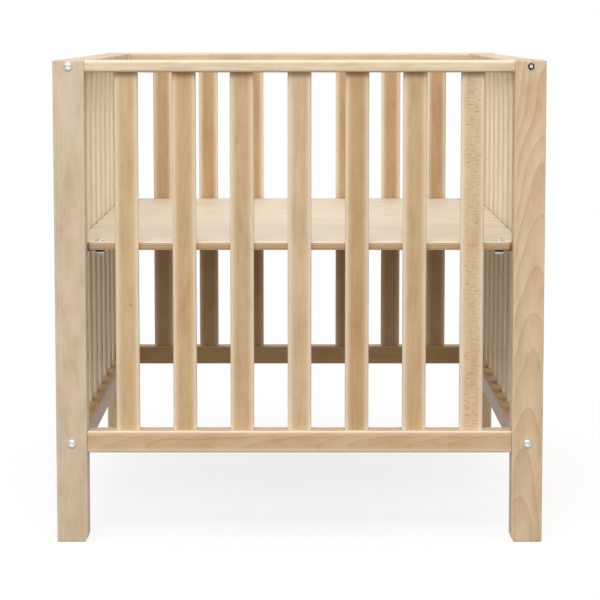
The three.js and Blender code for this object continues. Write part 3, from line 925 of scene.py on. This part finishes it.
for end, sign_y in (("front", -1), ("rear", 1)):
    for side, sign_x in (("left", -1), ("right", 1)):
        sides = 32
        dome = button_profile(board_bolt_head, board_bolt_height, 0.0006, 0.0024)
        rings = []
        rows = 30
        for row in range(rows + 1):
            # One helix: the radius rises and falls once for each pitch, later by one pitch a turn.
            z = -board_bolt_length + 0.006 * row / rows
            ring = []
            for i in range(sides):
                phase = ((z / thread_pitch) - i / sides) % 1
                radius = board_bolt_shank - thread_depth * abs(2 * phase - 1) * (1 if row else 1.6)
                angle = 2 * math.pi * i / sides
                ring.append((radius * math.cos(angle), radius * math.sin(angle), z))
            rings.append(ring)
        for radius, z in [(board_bolt_shank, -0.0146), (board_bolt_shank, 0.0)] + dome:
            turns = [2 * math.pi * i / sides for i in range(sides)]
            rings.append([(radius * math.cos(turn), radius * math.sin(turn), z) for turn in turns])
        bolt = loft(f"board_bolt_{end}_{side}", rings)
        bolt.location = (sign_x * board_bolt_x, sign_y * board_bolt_y, board_top + 0.0001)
        finish_metal(bolt, zinc_plate, "base")

        nut_profile = [(nut_flats_radius - 0.0009, -nut_height), (nut_flats_radius, -nut_height + 0.0006),
                       (nut_flats_radius, -0.0012)]
        nut = turned(f"board_nut_{end}_{side}", nut_profile, 6)
        flange_profile = [(nut_flats_radius - 0.0006, -0.0022), (nut_flange_radius - 0.0002, -0.0009),
                          (nut_flange_radius, -0.0006), (nut_flange_radius, 0.0)]
        flange = turned("tool_flange", flange_profile, 48)
        work_on(nut, [flange], "UNION")
        work_on(nut, [drill((0, 0, -0.02), (0, 0, 0.01), board_bolt_shank + 0.0001)], "DIFFERENCE")
        bracket_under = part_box(f"bracket_{end}_{side}")[0].z
        seat = (sign_x * board_bolt_x, sign_y * board_bolt_y, bracket_under - 0.0001)
        # The black washer is painted shade under the board.
        washer = turned(f"board_washer_{end}_{side}", [
            (washer_radius - 0.0004, -washer_height), (washer_radius, -washer_height + 0.0004),
            (washer_radius, -0.0004), (washer_radius - 0.0004, 0.0)], 48)
        work_on(washer, [drill((0, 0, -0.02), (0, 0, 0.01), board_bolt_shank + 0.0001)], "DIFFERENCE")
        washer.location = seat
        finish_metal(washer, black_oxide, "base")
        nut.location = (seat[0], seat[1], seat[2] - washer_height - 0.0001)
        nut.rotation_euler.z = random.Random(nut.name).uniform(0, math.pi / 3)
        finish_metal(nut, zinc_plate, "base")


# Bracket screws ----------------------------------------------------------------------------
# Pan-head wood screws with a cross recess, two through each upstand. Their shanks are in the
# leg and out of sight, so only heads and necks are made.
screw_head_radius = 0.0039
screw_head_height = 0.0024
screw_neck_radius = 0.0021

for end, sign_y in (("front", -1), ("rear", 1)):
    for side, sign_x in (("left", -1), ("right", 1)):
        low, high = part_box(f"bracket_{end}_{side}")
        face_y = sign_y * (max(abs(low.y), abs(high.y)) - sheet)
        middle_x = sign_x * (0.353 + max(abs(low.x), abs(high.x))) / 2
        for number, offset in ((1, -screw_spacing / 2), (2, screw_spacing / 2)):
            name = f"bracket_screw_{end}_{side}_{number}"
            dome = button_profile(screw_head_radius, screw_head_height, 0.0007, 0.0014)
            screw = turned(name, [(screw_neck_radius, -0.0018), (screw_neck_radius, 0.0)] + dome, 32)
            top = screw_head_height
            cross = [block((0, 0, top), (0.0036, 0.0007, 0.0026)),
                     block((0, 0, top), (0.0007, 0.0036, 0.0026))]
            work_on(screw, cross, "DIFFERENCE")
            inward = Vector((0, -sign_y, 0)).to_track_quat("Z", "Y").to_matrix().to_4x4()
            spin = Matrix.Rotation(random.Random(name).uniform(0, math.pi / 2), 4, "Z")
            seat = Vector((middle_x + offset, face_y - sign_y * 0.00005, low.z + screw_rise))
            screw.matrix_world = Matrix.Translation(seat) @ inward @ spin
            finish_metal(screw, zinc_plate, "base")


# Stage -------------------------------------------------------------------------------------
# A plain pale floor and soft studio light: a white surround, warm and dark below the horizon,
# a large softbox high in front and a weak one low in front.
floor_mesh = bpy.data.meshes.new("floor")
floor_mesh.from_pydata([(-12, -12, 0), (12, -12, 0), (12, 12, 0), (-12, 12, 0)], [], [(0, 1, 2, 3)])
floor = bpy.data.objects.new("floor", floor_mesh)
bpy.context.scene.collection.objects.link(floor)
floor_paint, floor_tree, floor_shader = new_material("pale_matt_floor")
floor_shader.inputs["Base Color"].default_value = linear("f7f6f4")
floor_shader.inputs["Roughness"].default_value = 0.9
floor_shader.inputs["Specular IOR Level"].default_value = 0.1
floor_place = add(floor_tree, "ShaderNodeTexCoord", {}).outputs["Object"]
floor_length = add(floor_tree, "ShaderNodeVectorMath", {"operation": "LENGTH"}, _0=floor_place)
floor_distance = floor_length.outputs["Value"]
floor_fade = add(floor_tree, "ShaderNodeMapRange",
                 {"interpolation_type": "SMOOTHSTEP", "From Min": 0.0, "From Max": 1.2, "To Min": 0.72},
                 Value=floor_distance)
floor_far = add(floor_tree, "ShaderNodeEmission", {"Color": (1, 1, 1, 1), "Strength": 1.0})
floor_both = add(floor_tree, "ShaderNodeMixShader", {}, Fac=floor_fade.outputs["Result"],
                 _1=floor_shader.outputs[0], _2=floor_far.outputs[0])
floor_tree.links.new(floor_both.outputs[0], floor_tree.nodes["Material Output"].inputs["Surface"])
floor_mesh.materials.append(floor_paint)
floor.visible_diffuse = False

world = bpy.data.worlds.new("studio")
world.use_nodes = True
sky = world.node_tree
surround = sky.nodes["Background"]
direction = add(sky, "ShaderNodeTexCoord", {}).outputs["Generated"]
height = add(sky, "ShaderNodeSeparateXYZ", {}, Vector=direction).outputs["Z"]
surround_colour = add(sky, "ShaderNodeValToRGB", {})
above_floor = add(sky, "ShaderNodeMapRange", {"From Min": -0.06, "From Max": 0.21}, Value=height)
set_ramp(surround_colour, [(0.0, "6a4f20"), (0.4, "73592a"), (1.0, "ffffff")])
sky.links.new(above_floor.outputs["Result"], surround_colour.inputs["Fac"])
sky.links.new(surround_colour.outputs["Color"], surround.inputs["Color"])
surround.inputs["Strength"].default_value = 1.1
backdrop = add(sky, "ShaderNodeBackground", {"Color": (1, 1, 1, 1), "Strength": 1.0})
seen = add(sky, "ShaderNodeLightPath", {}).outputs["Is Camera Ray"]
both = add(sky, "ShaderNodeMixShader", {}, Fac=seen, _1=surround.outputs[0], _2=backdrop.outputs[0])
sky.links.new(both.outputs[0], sky.nodes["World Output"].inputs["Surface"])
bpy.context.scene.world = world


def softbox(name, place, target, width, depth, power):
    """A large rectangular light aimed at a point."""
    lamp = bpy.data.lights.new(name, "AREA")
    lamp.shape = "RECTANGLE"
    lamp.size, lamp.size_y = width, depth
    lamp.energy = power
    light = bpy.data.objects.new(name, lamp)
    light.location = place
    aim = Vector(target) - Vector(place)
    light.rotation_euler = aim.to_track_quat("-Z", "Y").to_euler()
    bpy.context.scene.collection.objects.link(light)


softbox("key", (-0.6, -4.6, 4.4), (0, 0, 0.4), 2.8, 2.0, 150)
softbox("front", (0, -5.0, 1.6), (0, 0, 0.4), 3.0, 2.0, 30)
bpy.context.scene.view_settings.view_transform = "Standard"
